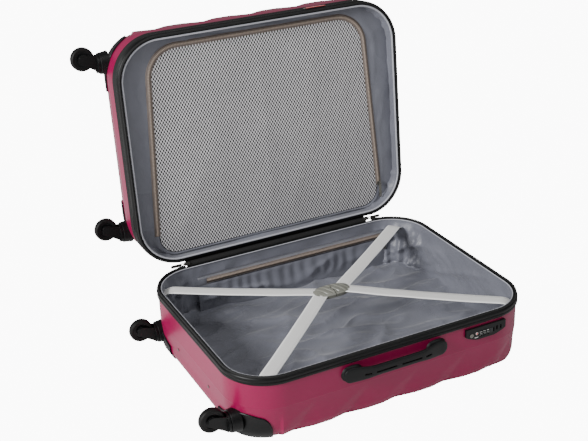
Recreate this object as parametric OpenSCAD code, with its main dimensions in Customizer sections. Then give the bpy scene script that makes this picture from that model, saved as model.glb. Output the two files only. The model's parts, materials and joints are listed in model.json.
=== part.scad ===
// Hard shell suitcase on four spinner casters, lying open.
// X runs along the case with the casters at -X, the hinge is on the +Y side and Z is up.
// The origin is the middle of the back half's outer face, which lies on the floor.
// Each half is drawn in the same way, opening upwards, and the lid half is then turned over its hinge.

/* [Case] */
// Length of the shell without its casters
body_l = 630; // [600:5:680]
// Width of the shell
body_w = 480; // [460:5:520]
// Depth of one half, from its outer face to its rim
half_depth = 137; // [132:1:150]
// Corner radius of the rim
corner_r = 92; // [88:1:96]
// Wall thickness of the moulded shells
shell_t = 3; // [2.5:0.1:3.5]
// Angle that the lid stands open at
lid_angle = 95; // [0:1:180]

/* [Rim and zip] */
// Height of the rim band
rim_h = 16; // [12:1:18]
// Thickness of the rim band
rim_t = 9; // [7:0.5:9]
// Gap between the two closed halves, filled by the zip
zip_gap = 8; // [8:0.5:10]
// Width of the zip tape's standing edge
zip_w = 4; // [3:0.5:4]
// Length of the fabric hinge between the zip's two ends
hinge_l = 412; // [380:2:430]

/* [Lining] */
// Height of the packing floor, over the trolley tubes
floor_z = 28; // [28:0.5:32]
// Thickness of the lining
lining_t = 1.2; // [0.8:0.1:1.5]
// Depth of the lid's mesh panel below the rim
panel_drop = 20; // [16:1:24]
// Height of the mesh panel above the hinge
panel_v = 427; // [400:1:430]
// Width of the webbing straps
strap_w = 29; // [25:1:32]

/* [Casters] */
// Radius of the wheels
wheel_r = 24; // [22:0.5:24]
// Width of the wheels
wheel_w = 15; // [13:0.5:16]
// Distance of each swivel axis from the middle of the case
swivel_y = 181; // [176:1:184]
// Height of the swivel axis over the half's outer face
swivel_z = 38; // [38:1:42]
// Sideways trail of the wheel from its swivel axis
trail = 14; // [12:0.5:14]
// Distance of the wheel's axle from the housing's face
axle_reach = 32; // [31:0.5:36]

/* [Trolley] */
// Distance of each trolley tube from the middle
tube_y = 75; // [70:1:76]
// Height of the tubes' middle over the outer face
tube_z = 14; // [14:0.5:15]
// Width of the outer tubes
tube_w = 24; // [22:1:24]
// Thickness of the outer tubes
tube_h = 15; // [14:0.5:15]

/* [Carry handles] */
// Length of a carry handle over its mounts
handle_l = 224; // [200:2:230]
// Height of the handles' middle over the outer face
handle_z = 100; // [96:1:102]
// Shift of the side handle from the middle of the case
handle_shift = -5; // [-10:1:10]

/* [Hidden] */
$fn = 64;
facets = 32;
fit = 0.05;
slack = 0.3;
rim_z = half_depth - rim_h;
shell_in = 3;
shoulder_in = 6;
foot_in = 16;
lining_in = rim_t + slack;
hinge_y = body_w / 2 + 3;
hinge_z = half_depth + zip_gap / 2;
panel_y = hinge_y - 21;
zip_h = zip_gap / 2 - 0.2;
wall_y = body_w / 2 - shell_in;
wall_x = body_l / 2 - shell_in;
panel_z = half_depth - panel_drop;
housing_x = body_l / 2 + 3;
housing_box = [57, 100, 63];
strap_z = 126;
lock_x = 195;
lock_z = 102;
buckle_y = 12;
cup_y = 96;
cup_top = floor_z - 0.4;

shell_pink = [0.66, 0.12, 0.34];
black = [0.07, 0.08, 0.08];
soft_black = [0.13, 0.13, 0.14];
lining_grey = [0.43, 0.44, 0.50];
light_grey = [0.62, 0.62, 0.66];
webbing = [0.84, 0.84, 0.82];
silver = [0.78, 0.78, 0.76];
olive = [0.42, 0.42, 0.37];

// ---- frames and outlines ----

// Puts a half that was drawn opening upwards where the lid stands.
module place_lid() {
    translate([0, hinge_y, hinge_z]) rotate([-lid_angle, 0, 0]) translate([0, -hinge_y, -hinge_z])
        translate([0, 0, 2 * hinge_z]) mirror([0, 0, 1]) children();
}

// The rim's outline, moved inwards by inset.
module outline(inset) {
    r = corner_r - inset;
    square([body_l - 2 * corner_r, body_w - 2 * inset], center = true);
    square([body_l - 2 * inset, body_w - 2 * corner_r], center = true);
    for (sx = [-1, 1], sy = [-1, 1])
        translate([sx * (body_l / 2 - corner_r), sy * (body_w / 2 - corner_r)]) circle(r = r);
}

module ring(inset_a, inset_b, z, h) {
    translate([0, 0, z]) linear_extrude(h) difference() {
        outline(inset_a);
        outline(inset_b);
    }
}

// A tray-shaped solid with rounded bottom edges: the shell's outer shape, moved outwards by grow.
module tray_solid(grow, low, high) {
    levels = [[low, foot_in, 0.5], [low + 10, shoulder_in, 0.5], [low + 26, shell_in, high - low - 26]];
    hull() for (sx = [-1, 1], sy = [-1, 1], level = levels)
        translate([sx * (body_l / 2 - corner_r), sy * (body_w / 2 - corner_r), level[0]])
            cylinder(r = corner_r - level[1] + grow, h = level[2], $fn = facets);
}

module corner_box(side, gap) {
    x0 = -body_l / 2 - 10;
    size = [housing_box[0] + 10 - gap, housing_box[1] + 10 - gap, housing_box[2] + 1 - gap];
    y0 = side > 0 ? body_w / 2 + 10 - size[1] : -body_w / 2 - 10;
    translate([x0, y0, -1]) cube(size);
}

// ---- shells and rims ----

module plain_shell() {
    difference() {
        tray_solid(0, 0, rim_z);
        tray_solid(-shell_t, shell_t, rim_z + 5);
        for (side = [-1, 1]) corner_box(side, 0);
    }
}

module boat(grow) {
    intersection() {
        translate([0, 1]) square([90 + 2 * grow, 26 + 2 * grow], center = true);
        translate([0, 76]) circle(r = 90 + grow);
    }
}

// Lays a flat shape on the front wall and runs it through the wall from depth a to depth b.
module on_front(x, z, a, b) {
    translate([x, -wall_y - a, z]) rotate([90, 0, 0]) linear_extrude(b - a) children();
}

module back_shell() {
    color(shell_pink) difference() {
        plain_shell();
        on_front(lock_x, lock_z, -shell_t - 9, 1) boat(0.2);
        for (side = [-1, 1]) {
            translate([handle_shift + side * handle_leg_x, -wall_y, handle_z])
                cube([leg_w + 2, 4 * shell_t, leg_h + 2], center = true);
            translate([wall_x, side * handle_leg_x, handle_z])
                cube([4 * shell_t, leg_w + 2, leg_h + 2], center = true);
            translate([-wall_x - 5, side * tube_y, screw_z]) rotate([0, 90, 0]) cylinder(r = 3.2, h = 10);
        }
        translate([body_l / 2 - 31 - 0.2, -cup_y - 0.2, -1])
            cube([40, 2 * cup_y + 0.4, cup_top + 1.2]);
    }
}

module front_shell() color(shell_pink) place_lid() plain_shell();

module rim_band() {
    ring(1.5, rim_t, rim_z, 2);
    ring(0, rim_t, rim_z + 2, rim_h - 5);
    ring(1, rim_t, rim_z + rim_h - 3, 1.5);
    ring(2, rim_t, rim_z + rim_h - 1.5, 1.5);
}

module base_rim() color(black) rim_band();
module lid_rim() color(black) place_lid() rim_band();

module zip_edge() {
    difference() {
        ring(2, 2 + zip_w, half_depth, zip_h);
        translate([-hinge_l / 2 - 14, 0, half_depth - 1]) cube([hinge_l + 28, body_w, zip_h + 2]);
    }
}

module base_zip_tape() color(soft_black) zip_edge();
module lid_zip_tape() color(soft_black) place_lid() zip_edge();

module hinge_strip() {
    color(soft_black) translate([-hinge_l / 2, body_w / 2 + 0.1, rim_z + 4])
        cube([hinge_l, 0.8, hinge_z - rim_z - 4]);
}

// ---- linings ----

module lining_tray(low) {
    difference() {
        tray_solid(shell_in - lining_in, low, half_depth - 2);
        tray_solid(shell_in - lining_in - lining_t, low + lining_t, half_depth + 5);
    }
}

module base_lining() color(lining_grey) lining_tray(floor_z);
module lid_lining() color(lining_grey) place_lid() lining_tray(shell_t + 4);

module panel_outline(grow) {
    hull() for (side = [-1, 1]) {
        translate([side * 180, panel_y - panel_v + 60]) circle(r = 60 + grow, $fn = facets * 2);
        translate([side * 222, panel_y - 38]) circle(r = 38 + grow, $fn = facets * 2);
    }
}

module lid_border() {
    color(lining_grey) place_lid() translate([0, 0, panel_z - 1.5]) linear_extrude(1.5) difference() {
        outline(lining_in + lining_t + 1);
        panel_outline(0.6);
    }
}

module mesh_panel() {
    color(light_grey) place_lid() translate([0, 0, panel_z - 1.2]) linear_extrude(1.2) panel_outline(-0.6);
}

module panel_zip_tape() {
    color(olive) place_lid() translate([0, 0, panel_z]) linear_extrude(1.2) difference() {
        panel_outline(9);
        panel_outline(1);
        translate([-body_l / 2, hinge_y - 60]) square([body_l, 60]);
    }
}

// ---- zip sliders and pulls ----

// A slider's body lies along +X and its bridge stands up in +Z.
module slider(l, w, h) {
    translate([-l / 2, -w / 2, 0]) cube([l, w, h * 0.55]);
    translate([-l / 2 + 1, -w * 0.18, h * 0.55]) cube([l - 2, w * 0.36, h * 0.45]);
}

// A flat pull that hangs towards -Y from its eye at the origin.
module pull(l, w, t) {
    difference() {
        union() {
            translate([0, -l + w / 2, 0]) cylinder(r = w / 2, h = t);
            translate([-w / 2, -l + w / 2, 0]) cube([w, l - w / 2, t]);
            cylinder(r = w / 2, h = t);
        }
        translate([0, 0, -1]) cylinder(r = w * 0.28, h = t + 2);
    }
}

module zip_sliders() {
    color(silver) for (side = [-1, 1])
        translate([side * (hinge_l / 2 + 9) - 2, hinge_y, hinge_z]) cube([12, 6, 6], center = true);
}

module zip_pull(side) {
    color(silver) translate([side * (hinge_l / 2 + 19) - 2, hinge_y + 0.3, hinge_z])
        rotate([90, 0, 0]) rotate([0, 0, side * 90]) pull(26, 6.5, 1.4);
}

module zip_pull_left() zip_pull(-1);
module zip_pull_right() zip_pull(1);

pocket_x = [-205, 255];
pocket_y = 220.2;
pocket_zip_z = 103;

module pocket_panel() {
    color(lining_grey) translate([pocket_x[0], pocket_y - 2.4, floor_z + 16])
        cube([pocket_x[1] - pocket_x[0], 2.4, pocket_zip_z - 8 - floor_z - 16]);
}

module pocket_zip_tape() {
    color(olive) translate([pocket_x[0] + 20, pocket_y - 1.6, pocket_zip_z - 7])
        cube([pocket_x[1] - pocket_x[0] - 25, 1.6, 14]);
}

module pocket_slider() {
    color(silver) translate([pocket_x[1] - 10, pocket_y - 1.9, pocket_zip_z]) rotate([90, 0, 0]) slider(10, 8, 4.4);
}

module pocket_pull() {
    color(silver) translate([pocket_x[1] - 10, pocket_y - 6.6, pocket_zip_z]) rotate([90, 0, 0]) pull(34, 6, 1.4);
}

panel_slider_at = [264.6, panel_y - 46];

module panel_slider() {
    color(silver) place_lid() translate([panel_slider_at[0], panel_slider_at[1], panel_z + 1.5])
        rotate([0, 0, 90]) slider(10, 8, 4.4);
}

module panel_pull() {
    color(silver) place_lid() translate([panel_slider_at[0], panel_slider_at[1], panel_z + 6.2])
        mirror([0, 1, 0]) pull(32, 6, 1.4);
}

module red_tag() {
    color([0.75, 0.12, 0.12]) place_lid() translate([108, -body_w / 2 - 1.6, rim_z + 3]) cube([44, 1.4, 9]);
}

// ---- straps and buckle ----

// A flat strap from point a to point b.
module strap(a, b) {
    d = b - a;
    translate([a[0], a[1], strap_z]) rotate([0, 0, atan2(d[1], d[0])]) translate([0, -strap_w / 2, 0])
        cube([norm(d), strap_w, 1.2]);
}

// Two straps cut to the lining's mouth, from end to end, with the buckle's place left out.
module strap_pair(back, front, x0, x1) {
    color(webbing) difference() {
        intersection() {
            union() {
                strap(back[0], back[1]);
                strap(front[0], front[1]);
            }
            translate([0, 0, strap_z - 1]) linear_extrude(4) outline(lining_in + lining_t + 1);
        }
        translate([x0, buckle_y - 40, strap_z - 1]) cube([x1 - x0, 80, 4]);
    }
}

module straps_left() strap_pair([[-30, 20], [-300, 190]], [[-30, 4], [-270, -228]], -39.7, 20);
module straps_right() strap_pair([[30, 20], [284, 219]], [[30, 4], [290, -212]], -8, 58);

module buckle_half() {
    translate([0, 0, strap_z - 5]) linear_extrude(11) intersection() {
        translate([19, 0]) square([38, 44], center = true);
        circle(r = 38);
        translate([13, 0]) circle(r = 25);
    }
}

module buckle_plug() {
    color(olive) translate([-1.5, buckle_y, 0]) {
        mirror([1, 0, 0]) buckle_half();
        translate([0, -11, strap_z - 2]) cube([17, 22, 4.5]);
    }
}

module buckle_socket() {
    color(olive) translate([-1.2, buckle_y, 0]) difference() {
        buckle_half();
        translate([-1, -11.4, strap_z - 2.4]) cube([19, 22.8, 5.3]);
    }
}

// ---- trolley ----

module tube_pair(w, h, wall, x0, x1) {
    for (side = [-1, 1]) translate([x0, side * tube_y, tube_z]) difference() {
        translate([0, -w / 2, -h / 2]) cube([x1 - x0, w, h]);
        translate([-1, -w / 2 + wall, -h / 2 + wall]) cube([x1 - x0 + 2, w - 2 * wall, h - 2 * wall]);
    }
}

screw_z = 49;
cup_x = body_l / 2 - 31;
outer_wall = 1.5;
stage_gap = 0.3;
mid_w = tube_w - 2 * outer_wall - 2 * stage_gap;
mid_h = tube_h - 2 * outer_wall - 2 * stage_gap;
mid_wall = 1.2;
inner_w = mid_w - 2 * mid_wall - 2 * stage_gap;
inner_h = mid_h - 2 * mid_wall - 2 * stage_gap;

module trolley_outer_tubes() color(silver) tube_pair(tube_w, tube_h, outer_wall, -235, cup_x);
module trolley_mid_tubes() color(silver) tube_pair(mid_w, mid_h, mid_wall, -225, cup_x + 9.6);
module trolley_inner_tubes() color(silver) tube_pair(inner_w, inner_h, 1.2, -218, cup_x + 10);

module trolley_brackets() {
    plate_x = -wall_x + shell_t + 0.1;
    color(soft_black) for (side = [-1, 1]) difference() {
        union() {
            translate([plate_x, side * tube_y - 12, shell_t + 27]) cube([2.8, 24, 28]);
            translate([-290, side * tube_y - 12, shell_t + 1]) cube([290 - 235, 24, tube_z + tube_h / 2 - shell_t - 1]);
            translate([-300, side * tube_y - 12, shell_t + 8]) cube([12, 24, 12]);
            translate([-304.5, side * tube_y - 12, shell_t + 16]) cube([6, 24, 8]);
            translate([plate_x + 1.2, side * tube_y - 12, shell_t + 20]) cube([5, 24, 8]);
        }
        translate([plate_x - 1, side * tube_y, screw_z]) rotate([0, 90, 0]) cylinder(r = 1.6, h = 6);
    }
}

module trolley_screws() {
    color(silver) for (side = [-1, 1]) translate([-wall_x + 0.8, side * tube_y, screw_z]) rotate([0, 90, 0]) {
        cylinder(r = 3, h = shell_t - 0.9);
        cylinder(r = 1.55, h = shell_t + 2);
    }
}

module trolley_cup() {
    color(black) difference() {
        intersection() {
            translate([cup_x, -cup_y, 1]) cube([40, 2 * cup_y, cup_top - 1]);
            tray_solid(2, 1, rim_z);
        }
        translate([cup_x + 6, -cup_y + 8, 4.5]) cube([40, 2 * cup_y - 16, cup_top - 4.5 - 3]);
        for (side = [-1, 1]) translate([cup_x - 1, side * tube_y - mid_w / 2 - 0.3, tube_z - mid_h / 2 - 0.3])
            cube([20, mid_w + 0.6, mid_h + 0.6]);
    }
}

grip_x = cup_x + 10;
grip_depth = 18;
grip_h = 17;

module trolley_grip() {
    color(black) difference() {
        translate([grip_x, -cup_y + 9, tube_z - grip_h / 2]) cube([grip_depth, 2 * cup_y - 18, grip_h]);
        translate([grip_x + grip_depth - 10, -15.3, tube_z - 5.3]) cube([12, 30.6, 10.6]);
    }
}

module trolley_button() {
    color(soft_black) translate([grip_x + grip_depth - 6.5, -15, tube_z - 5]) cube([7, 30, 10]);
}

// ---- carry handles ----
// Drawn along X on the plane y = 0, standing out towards -Y.

pad_l = 44;
pad_h = 32;
pad_t = 8;
leg_w = 12;
leg_h = 16;
handle_leg_x = handle_l / 2 - pad_l / 2;
grip_out = 10;
grip_t = 9;

module stadium(l, h) {
    for (side = [-1, 1]) translate([side * (l - h) / 2, 0]) circle(r = h / 2);
    square([l - h, h], center = true);
}

module handle_mounts() {
    for (side = [-1, 1]) translate([side * handle_leg_x, 0, 0]) difference() {
        rotate([90, 0, 0]) linear_extrude(pad_t) stadium(pad_l, pad_h);
        cube([leg_w + 0.6, 3 * pad_t, leg_h + 0.6], center = true);
    }
}

module handle_grip() {
    bar_l = 2 * handle_leg_x + 26;
    translate([0, -grip_out, 0]) rotate([90, 0, 0]) linear_extrude(grip_t) difference() {
        stadium(bar_l, 24);
        for (x = [-26, 26]) translate([x, 0]) stadium(42, 3.6);
        for (x = [-66, 66]) translate([x, 0]) stadium(16, 3.6);
    }
    for (side = [-1, 1]) translate([side * handle_leg_x - leg_w / 2, -grip_out, -leg_h / 2])
        cube([leg_w, grip_out + 6, leg_h]);
}

module on_side() translate([handle_shift, -wall_y, handle_z]) children();
module on_top() translate([wall_x, 0, handle_z]) rotate([0, 0, 90]) children();

module side_handle_mounts() color(black) on_side() handle_mounts();
module side_handle_grip() color(black) on_side() handle_grip();
module top_handle_mounts() color(black) on_top() handle_mounts();
module top_handle_grip() color(black) on_top() handle_grip();

// ---- combination lock ----

dial_x = [-12, -4, 4];
dial_r = 6.3;
dial_w = 5;
dial_in = 1;
key_x = -33;
button_x = 14;

module lock_housing() {
    color(black) {
        difference() {
            on_front(lock_x, lock_z, -5.6, 5) boat(0);
            translate([lock_x, -wall_y, lock_z]) {
                for (x = dial_x) translate([x, dial_in - 1, 0]) cube([dial_w + 0.6, 30, 2 * dial_r + 0.8], center = true);
                translate([key_x, 10, 0]) rotate([90, 0, 0]) cylinder(r = 4 + fit, h = 20);
                translate([button_x, -5, 0]) cube([10.4, 10, 9.4], center = true);
                for (x = [25, 34]) translate([x, 0, 2]) cube([3.6, 30, 9], center = true);
            }
        }
        translate([lock_x + dial_x[0] - dial_w / 2 - 2, -wall_y - dial_in, lock_z]) rotate([0, 90, 0])
            cylinder(r = 1, h = dial_x[2] - dial_x[0] + dial_w + 4);
    }
}

module lock_dial(i) {
    color(silver) translate([lock_x + dial_x[i] - dial_w / 2, -wall_y - dial_in, lock_z]) rotate([0, 90, 0])
        difference() {
            cylinder(r = dial_r, h = dial_w);
            translate([0, 0, -1]) cylinder(r = 1 + fit, h = dial_w + 2);
            for (a = [0 : 36 : 324]) rotate([0, 0, a + 18]) translate([dial_r, 0, -1]) cylinder(r = 0.6, h = dial_w + 2);
        }
}

module lock_dial_1() lock_dial(0);
module lock_dial_2() lock_dial(1);
module lock_dial_3() lock_dial(2);

module lock_button() {
    color(soft_black) translate([lock_x + button_x - 1.6, -wall_y - 3.2, lock_z]) cube([6, 5, 9], center = true);
}

module key_cylinder() {
    color(silver) translate([lock_x + key_x, -wall_y + 5, lock_z]) rotate([90, 0, 0]) difference() {
        cylinder(r = 4, h = 11);
        translate([0, 0, 11]) cube([1, 5, 6], center = true);
    }
}

// ---- casters ----

// The two pivots of a caster: its swivel axis runs along local Z, away from the case,
// and its wheel trails along local X.
module caster_frame(side, turn) {
    translate([-housing_x, side * swivel_y, swivel_z]) rotate([turn, 0, 0]) rotate([0, -90, 0]) children();
}

stem_r = 5;
axle_r = 3;
plate_t = 5;
cheek_t = 3;
stem_l = 14.5;

module caster_housing(side) {
    difference() {
        union() {
            intersection() {
                tray_solid(3, 0.5, rim_z);
                corner_box(side, 0.2);
            }
            caster_frame(side, 0) translate([0, 0, -18]) cylinder(r = 22, h = 18);
        }
        tray_solid(-5.5, 5, rim_z);
        caster_frame(side, 0) translate([0, 0, -30]) cylinder(r = stem_r + fit, h = 40);
    }
}

module caster_fork() {
    translate([0, 0, -stem_l]) cylinder(r = stem_r, h = stem_l + 1);
    translate([0, 0, 0.3]) cylinder(r = 19, h = plate_t - 0.3);
    for (side = [-1, 1]) translate([0, side * (wheel_w / 2 + 1 + cheek_t / 2), 0])
        rotate([90, 0, 0]) linear_extrude(cheek_t, center = true) {
            polygon([[-15, plate_t - 1], [16, plate_t - 1], [trail + 9.5, axle_reach - 3], [trail, axle_reach], [trail - 8, axle_reach + 6]]);
            translate([trail, axle_reach]) circle(r = 10);
        }
    translate([trail, 0, axle_reach]) rotate([90, 0, 0]) cylinder(r = axle_r, h = wheel_w + 2 + 2 * cheek_t, center = true);
}

hub_r = 17;

module at_wheel() translate([trail, 0, axle_reach]) rotate([90, 0, 0]) children();

module wheel_hub() {
    at_wheel() difference() {
        cylinder(r = hub_r, h = wheel_w - 2, center = true);
        cylinder(r = axle_r + fit, h = wheel_w + 2, center = true);
        for (z = [-1, 1]) translate([0, 0, z * (wheel_w / 2 - 1)]) difference() {
            cylinder(r = hub_r - 2, h = 4, center = true);
            cylinder(r = hub_r - 8, h = 6, center = true);
        }
    }
}

module tyre() {
    at_wheel() rotate_extrude() polygon([
        [hub_r + fit, -wheel_w / 2 + 0.5], [wheel_r - 3, -wheel_w / 2], [wheel_r - 1, -wheel_w / 2 + 1.5],
        [wheel_r, -wheel_w / 2 + 4], [wheel_r, wheel_w / 2 - 4], [wheel_r - 1, wheel_w / 2 - 1.5],
        [wheel_r - 3, wheel_w / 2], [hub_r + fit, wheel_w / 2 - 0.5]
    ]);
}

module base_caster(side) caster_frame(side, 0) children();
module lid_caster(side) place_lid() caster_frame(side, 90) children();

module caster_housing_1() color(black) caster_housing(-1);
module caster_housing_2() color(black) caster_housing(1);
module caster_housing_3() color(black) place_lid() caster_housing(1);
module caster_housing_4() color(black) place_lid() caster_housing(-1);
module caster_fork_1() color(soft_black) base_caster(-1) caster_fork();
module caster_fork_2() color(soft_black) base_caster(1) caster_fork();
module caster_fork_3() color(soft_black) lid_caster(1) caster_fork();
module caster_fork_4() color(soft_black) lid_caster(-1) caster_fork();
module wheel_hub_1() color(soft_black) base_caster(-1) wheel_hub();
module wheel_hub_2() color(soft_black) base_caster(1) wheel_hub();
module wheel_hub_3() color(soft_black) lid_caster(1) wheel_hub();
module wheel_hub_4() color(soft_black) lid_caster(-1) wheel_hub();
module tyre_1() color(black) base_caster(-1) tyre();
module tyre_2() color(black) base_caster(1) tyre();
module tyre_3() color(black) lid_caster(1) tyre();
module tyre_4() color(black) lid_caster(-1) tyre();

back_shell();
base_rim();
base_zip_tape();
base_lining();
hinge_strip();
pocket_panel();
pocket_zip_tape();
pocket_slider();
pocket_pull();
straps_left();
straps_right();
buckle_plug();
buckle_socket();
trolley_outer_tubes();
trolley_mid_tubes();
trolley_inner_tubes();
trolley_brackets();
trolley_cup();
trolley_grip();
trolley_button();
trolley_screws();
side_handle_mounts();
side_handle_grip();
top_handle_mounts();
top_handle_grip();
lock_housing();
lock_dial_1();
lock_dial_2();
lock_dial_3();
lock_button();
key_cylinder();
zip_sliders();
zip_pull_left();
zip_pull_right();
front_shell();
lid_rim();
lid_zip_tape();
lid_lining();
lid_border();
mesh_panel();
panel_zip_tape();
panel_slider();
panel_pull();
red_tag();
caster_housing_1();
caster_fork_1();
wheel_hub_1();
tyre_1();
caster_housing_2();
caster_fork_2();
wheel_hub_2();
tyre_2();
caster_housing_3();
caster_fork_3();
wheel_hub_3();
tyre_3();
caster_housing_4();
caster_fork_4();
wheel_hub_4();
tyre_4();
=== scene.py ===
"""A hard shell suitcase on four casters, lying open on a studio floor."""
import json
import math

import bpy
import numpy as np
from mathutils import Matrix, Vector, noise


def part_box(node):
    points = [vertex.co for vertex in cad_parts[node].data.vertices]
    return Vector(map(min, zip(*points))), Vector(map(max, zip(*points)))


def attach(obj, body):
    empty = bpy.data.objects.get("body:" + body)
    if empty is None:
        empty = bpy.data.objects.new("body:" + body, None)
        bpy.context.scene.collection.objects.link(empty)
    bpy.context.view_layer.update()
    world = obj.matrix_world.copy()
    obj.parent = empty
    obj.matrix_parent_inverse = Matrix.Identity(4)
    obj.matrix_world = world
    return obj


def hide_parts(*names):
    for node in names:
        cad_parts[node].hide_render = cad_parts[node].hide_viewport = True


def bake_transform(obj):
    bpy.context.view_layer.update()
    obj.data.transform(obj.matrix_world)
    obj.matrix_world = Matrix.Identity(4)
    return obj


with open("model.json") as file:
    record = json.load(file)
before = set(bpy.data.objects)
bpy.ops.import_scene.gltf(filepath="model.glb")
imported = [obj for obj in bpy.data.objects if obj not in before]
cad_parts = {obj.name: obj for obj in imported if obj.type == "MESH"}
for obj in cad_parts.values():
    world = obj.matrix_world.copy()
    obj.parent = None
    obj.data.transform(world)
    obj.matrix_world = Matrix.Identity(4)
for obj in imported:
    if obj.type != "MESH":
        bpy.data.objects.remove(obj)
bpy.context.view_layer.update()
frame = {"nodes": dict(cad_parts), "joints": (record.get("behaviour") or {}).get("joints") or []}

# ---- Studio: camera, floor and lamps ----
# The camera stands a little to the caster end and looks down into the open case.
MM = 0.001
joints = {j["name"]: j for j in frame["joints"]}
rim_low, rim_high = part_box("base_rim")
half_depth = rim_high.z
camera_data = bpy.data.cameras.new("camera")
camera_data.lens = 70.33
camera_data.sensor_width = 36.0
camera = bpy.data.objects.new("camera", camera_data)
bpy.context.scene.collection.objects.link(camera)
azimuth, elevation, roll = (math.radians(a) for a in (-26.064, 24.983, -2.144))
back = Vector((
    math.sin(azimuth) * math.cos(elevation),
    -math.cos(azimuth) * math.cos(elevation),
    math.sin(elevation),
))
right = (-back).cross(Vector((0, 0, 1))).normalized()
up = right.cross(-back)
turned_right = right * math.cos(roll) + up * math.sin(roll)
turned_up = up * math.cos(roll) - right * math.sin(roll)
camera.matrix_world = Matrix((turned_right, turned_up, back)).transposed().to_4x4()
camera.location = (-0.9522, -1.7759, half_depth + 1.0893)
bpy.context.scene.camera = camera


def linear(code):
    """Linear red, green, blue and alpha of an sRGB hex colour."""
    parts = [int(code[i : i + 2], 16) / 255 for i in (1, 3, 5)]
    parts = [p / 12.92 if p <= 0.04045 else ((p + 0.055) / 1.055) ** 2.4 for p in parts]
    return (*parts, 1.0)


def given(node):
    """What a node gives: the first of its outputs that is in use."""
    return next(output for output in node.outputs if output.enabled)


def add(tree, kind, inputs=None, into=None, **settings):
    """One shader node with its settings and links. An input given as a node or an output is linked, any
    other is set, and what the new node gives goes on to the socket named by into."""
    made = tree.nodes.new("ShaderNode" + kind)
    for name, value in settings.items():
        setattr(made, name, value)
    for name, value in (inputs or {}).items():
        if isinstance(value, bpy.types.Node):
            value = given(value)
        if isinstance(value, bpy.types.NodeSocket):
            tree.links.new(value, made.inputs[name])
        else:
            made.inputs[name].default_value = value
    if into:
        tree.links.new(given(made), into)
    return made


# A colour Mix shares the names of its sockets with the other kinds of Mix, so they go by number.
MIX_BY, MIX_LOW, MIX_HIGH = 0, 6, 7


def finish_material(name):
    """A new material, the tree to build it in and the sockets of its surface shader."""
    material = bpy.data.materials.new(name)
    material.use_nodes = True
    tree = material.node_tree
    return material, tree, tree.nodes["Principled BSDF"].inputs


# Painted studio floor, matt and nearly white. It throws light back up and stays out of the view.
floor_paint, tree, surface = finish_material("pale_studio_paint")
speckle = add(tree, "TexNoise", {"Scale": 40.0, "Detail": 3.0})
add(tree, "Mix", {MIX_BY: speckle, MIX_LOW: linear("#F1F1F1"), MIX_HIGH: linear("#F6F6F5")},
    into=surface["Base Color"], data_type="RGBA")
surface["Roughness"].default_value = 0.9
floor_mesh = bpy.data.meshes.new("studio_floor")
reach = 30.0
corners = [(-reach, -reach, 0), (reach, -reach, 0), (reach, reach, 0), (-reach, reach, 0)]
floor_mesh.from_pydata(corners, [], [(0, 1, 2, 3)])
studio_floor = bpy.data.objects.new("studio_floor", floor_mesh)
studio_floor.data.materials.append(floor_paint)
bpy.context.scene.collection.objects.link(studio_floor)
studio_floor.visible_camera = False

# A white sweep fills the background and is burnt out; it lights the case far less than it shows.
world = bpy.data.worlds.new("studio")
world.use_nodes = True
lit_strength, seen_strength = 0.27, 11.0
backdrop = world.node_tree.nodes["Background"].inputs
backdrop["Color"].default_value = linear("#FAFAFA")
seen = add(world.node_tree, "LightPath").outputs["Is Camera Ray"]
add(world.node_tree, "MapRange", {"Value": seen, "To Min": lit_strength, "To Max": seen_strength},
    into=backdrop["Strength"])
bpy.context.scene.world = world


def lamp(name, place, target, size, watts):
    """A square soft box that faces its target."""
    data = bpy.data.lights.new(name, "AREA")
    data.size, data.energy = size, watts
    made = bpy.data.objects.new(name, data)
    made.location = place
    made.rotation_euler = (Vector(target) - Vector(place)).to_track_quat("-Z", "Y").to_euler()
    bpy.context.scene.collection.objects.link(made)


lamp("key_box", (-2.9, -0.6, 1.75), (0, 0.1, 0.1), 1.0, 150.0)
lamp("fill_box", (1.6, -2.8, 2.0), (0, 0, 0.2), 2.2, 10.0)
lamp("top_box", (0.6, -0.9, 3.2), (0, 0, 0), 1.6, 24.0)

# ---- Shells: the two outer halves ----
# Each half is vacuum formed from one sheet of ABS, with a smooth band under the rim, a thin ledge
# and big slanted facets below it that stiffen the wall.
case_l = rim_high.x - rim_low.x
case_w = rim_high.y - rim_low.y
corner_r = 92 * MM
hinge_at = Vector(joints["lid_hinge"]["pos_m"])
lid_open = math.radians(-joints["lid_hinge"]["range_deg"][0])
LID = (
    Matrix.Translation(hinge_at)
    @ Matrix.Rotation(-lid_open, 4, "X")
    @ Matrix.Translation((0, -hinge_at.y, hinge_at.z))
    @ Matrix.Scale(-1, 4, (0, 0, 1))
)


def rim_path(step):
    """Points round the rim from above, anticlockwise, their outward normals and the way along."""
    a, b = case_l / 2 - corner_r, case_w / 2 - corner_r
    points, normals = [], []
    for k, (cx, cy) in enumerate(((a, -b), (a, b), (-a, b), (-a, -b))):
        side = (2 * b, 2 * a)[k % 2]
        turns = max(8, round(corner_r * math.pi / 2 / step))
        for i in range(turns):
            angle = math.pi / 2 * (k - 1 + i / turns)
            n = np.array((math.cos(angle), math.sin(angle)))
            points.append(np.array((cx, cy)) + n * corner_r)
            normals.append(n)
        steps = max(2, round(side / step))
        angle = math.pi / 2 * k
        n = np.array((math.cos(angle), math.sin(angle)))
        along = np.array((-n[1], n[0]))
        for i in range(steps):
            points.append(np.array((cx, cy)) + n * corner_r + along * side * i / steps)
            normals.append(n)
    points = np.array(points)
    gaps = np.linalg.norm(np.diff(points, axis=0, append=points[:1]), axis=1)
    return points, np.array(normals), np.concatenate(([0.0], np.cumsum(gaps)[:-1]))


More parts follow.
